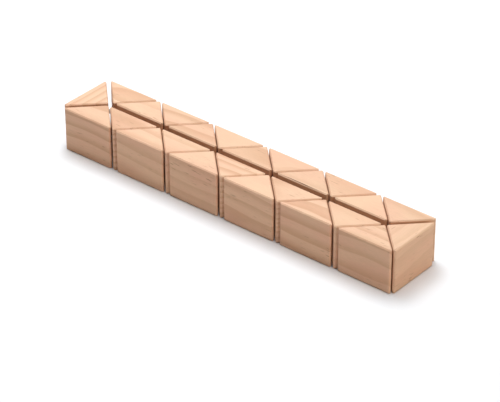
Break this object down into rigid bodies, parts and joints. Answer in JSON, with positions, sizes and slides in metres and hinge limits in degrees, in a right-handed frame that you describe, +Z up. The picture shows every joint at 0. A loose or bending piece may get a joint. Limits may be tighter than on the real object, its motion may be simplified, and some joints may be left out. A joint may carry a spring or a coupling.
{
  "type": "folding snake puzzle",
  "caption": "Chain of right-angled wooden wedges on an elastic cord, folded flat into a closed two-row block; each wedge turns on the middle of its neighbour's square face.",
  "frame": {"origin": "centre of the closed block's footprint, on the surface it rests on", "axes": "+X along the block, towards the end where the chain is open; +Y from the front row to the back row; +Z up"},
  "size_m": [0.1784, 0.031, 0.0205],
  "materials": {
    "wood": "smooth sanded pale softwood, unlacquered",
    "elastic": "braided elastic cord"
  },
  "bodies": {
    "link_01": {"wedge_01": "wood", "cord_01": "elastic", "knot_first": "elastic"},
    "link_02": {"wedge_02": "wood", "cord_02": "elastic"},
    "link_03": {"wedge_03": "wood", "cord_03": "elastic"},
    "link_04": {"wedge_04": "wood", "cord_04": "elastic"},
    "link_05": {"wedge_05": "wood", "cord_05": "elastic"},
    "link_06": {"wedge_06": "wood", "cord_06": "elastic"},
    "link_07": {"wedge_07": "wood", "cord_07": "elastic"},
    "link_08": {"wedge_08": "wood", "cord_08": "elastic"},
    "link_09": {"wedge_09": "wood", "cord_09": "elastic"},
    "link_10": {"wedge_10": "wood", "cord_10": "elastic"},
    "link_11": {"wedge_11": "wood", "cord_11": "elastic"},
    "link_12": {"wedge_12": "wood", "cord_12": "elastic"},
    "link_13": {"wedge_13": "wood", "cord_13": "elastic"},
    "link_14": {"wedge_14": "wood", "cord_14": "elastic"},
    "link_15": {"wedge_15": "wood", "cord_15": "elastic"},
    "link_16": {"wedge_16": "wood", "cord_16": "elastic"},
    "link_17": {"wedge_17": "wood", "cord_17": "elastic"},
    "link_18": {"wedge_18": "wood", "cord_18": "elastic"},
    "link_19": {"wedge_19": "wood", "cord_19": "elastic"},
    "link_20": {"wedge_20": "wood", "cord_20": "elastic"},
    "link_21": {"wedge_21": "wood", "cord_21": "elastic"},
    "link_22": {"wedge_22": "wood", "cord_22": "elastic"},
    "link_23": {"wedge_23": "wood", "cord_23": "elastic"},
    "link_24": {"wedge_24": "wood", "cord_24": "elastic", "knot_last": "elastic"}
  },
  "joints": [
    {"name": "turn_01_02", "type": "hinge", "parent": "link_02", "child": "link_01", "pos_m": [0.08217, -0.00841, 0.01025], "axis": [0.7071, 0.7071, 0], "continuous": true},
    {"name": "turn_02_03", "type": "hinge", "parent": "link_03", "child": "link_02", "pos_m": [0.06732, -0.00841, 0.01025], "axis": [0.7071, -0.7071, 0], "continuous": true},
    {"name": "turn_03_04", "type": "hinge", "parent": "link_04", "child": "link_03", "pos_m": [0.05247, -0.00841, 0.01025], "axis": [0.7071, 0.7071, 0], "range_deg": [-90, 90]},
    {"name": "turn_04_05", "type": "hinge", "parent": "link_05", "child": "link_04", "pos_m": [0.03762, -0.00841, 0.01025], "axis": [0.7071, -0.7071, 0], "continuous": true},
    {"name": "turn_05_06", "type": "hinge", "parent": "link_06", "child": "link_05", "pos_m": [0.02277, -0.00841, 0.01025], "axis": [0.7071, 0.7071, 0], "range_deg": [-90, 90]},
    {"name": "turn_06_07", "type": "hinge", "parent": "link_07", "child": "link_06", "pos_m": [0.00792, -0.00841, 0.01025], "axis": [0.7071, -0.7071, 0], "range_deg": [-90, 90]},
    {"name": "turn_07_08", "type": "hinge", "parent": "link_08", "child": "link_07", "pos_m": [-0.00693, -0.00841, 0.01025], "axis": [-0.7071, -0.7071, 0], "range_deg": [-90, 90]},
    {"name": "turn_08_09", "type": "hinge", "parent": "link_09", "child": "link_08", "pos_m": [-0.02178, -0.00841, 0.01025], "axis": [0.7071, -0.7071, 0], "range_deg": [-90, 90]},
    {"name": "turn_09_10", "type": "hinge", "parent": "link_10", "child": "link_09", "pos_m": [-0.03663, -0.00841, 0.01025], "axis": [0.7071, 0.7071, 0], "range_deg": [-90, 90]},
    {"name": "turn_10_11", "type": "hinge", "parent": "link_11", "child": "link_10", "pos_m": [-0.05148, -0.00841, 0.01025], "axis": [-0.7071, 0.7071, 0], "range_deg": [-90, 90]},
    {"name": "turn_11_12", "type": "hinge", "parent": "link_12", "child": "link_11", "pos_m": [-0.06633, -0.00841, 0.01025], "axis": [0.7071, 0.7071, 0], "range_deg": [-45, 45]},
    {"name": "turn_12_13", "type": "hinge", "parent": "link_13", "child": "link_12", "pos_m": [-0.08167, -0.00792, 0.01025], "axis": [0.7071, -0.7071, 0], "range_deg": [-90, 90]},
    {"name": "turn_13_14", "type": "hinge", "parent": "link_13", "child": "link_14", "pos_m": [-0.08167, 0.00792, 0.01025], "axis": [0.7071, 0.7071, 0], "range_deg": [-90, 90]},
    {"name": "turn_14_15", "type": "hinge", "parent": "link_14", "child": "link_15", "pos_m": [-0.06633, 0.00841, 0.01025], "axis": [0.7071, -0.7071, 0], "range_deg": [-45, 45]},
    {"name": "turn_15_16", "type": "hinge", "parent": "link_15", "child": "link_16", "pos_m": [-0.05148, 0.00841, 0.01025], "axis": [0.7071, 0.7071, 0], "range_deg": [-90, 90]},
    {"name": "turn_16_17", "type": "hinge", "parent": "link_16", "child": "link_17", "pos_m": [-0.03663, 0.00841, 0.01025], "axis": [0.7071, -0.7071, 0], "range_deg": [-90, 90]},
    {"name": "turn_17_18", "type": "hinge", "parent": "link_17", "child": "link_18", "pos_m": [-0.02178, 0.00841, 0.01025], "axis": [-0.7071, -0.7071, 0], "range_deg": [-90, 90]},
    {"name": "turn_18_19", "type": "hinge", "parent": "link_18", "child": "link_19", "pos_m": [-0.00693, 0.00841, 0.01025], "axis": [0.7071, -0.7071, 0], "range_deg": [-90, 90]},
    {"name": "turn_19_20", "type": "hinge", "parent": "link_19", "child": "link_20", "pos_m": [0.00792, 0.00841, 0.01025], "axis": [-0.7071, -0.7071, 0], "range_deg": [-90, 90]},
    {"name": "turn_20_21", "type": "hinge", "parent": "link_20", "child": "link_21", "pos_m": [0.02277, 0.00841, 0.01025], "axis": [-0.7071, 0.7071, 0], "range_deg": [-90, 90]},
    {"name": "turn_21_22", "type": "hinge", "parent": "link_21", "child": "link_22", "pos_m": [0.03762, 0.00841, 0.01025], "axis": [0.7071, 0.7071, 0], "continuous": true},
    {"name": "turn_22_23", "type": "hinge", "parent": "link_22", "child": "link_23", "pos_m": [0.05247, 0.00841, 0.01025], "axis": [-0.7071, 0.7071, 0], "range_deg": [-90, 90]},
    {"name": "turn_23_24", "type": "hinge", "parent": "link_23", "child": "link_24", "pos_m": [0.06732, 0.00841, 0.01025], "axis": [0.7071, 0.7071, 0], "continuous": true}
  ],
  "couplings": [
    {"joint": "turn_01_02", "follows": "turn_04_05", "ratio": -1},
    {"joint": "turn_03_04", "follows": "turn_06_07", "ratio": -1},
    {"joint": "turn_05_06", "follows": "turn_08_09", "ratio": -1},
    {"joint": "turn_07_08", "follows": "turn_10_11", "ratio": -1},
    {"joint": "turn_09_10", "follows": "turn_12_13", "ratio": -1},
    {"joint": "turn_11_12", "follows": "turn_12_13", "ratio": -0.5},
    {"joint": "turn_14_15", "follows": "turn_13_14", "ratio": -0.5},
    {"joint": "turn_16_17", "follows": "turn_13_14", "ratio": -1},
    {"joint": "turn_18_19", "follows": "turn_15_16", "ratio": -1},
    {"joint": "turn_20_21", "follows": "turn_17_18", "ratio": -1},
    {"joint": "turn_22_23", "follows": "turn_19_20", "ratio": -1},
    {"joint": "turn_23_24", "follows": "turn_21_22", "ratio": -1}
  ]
}
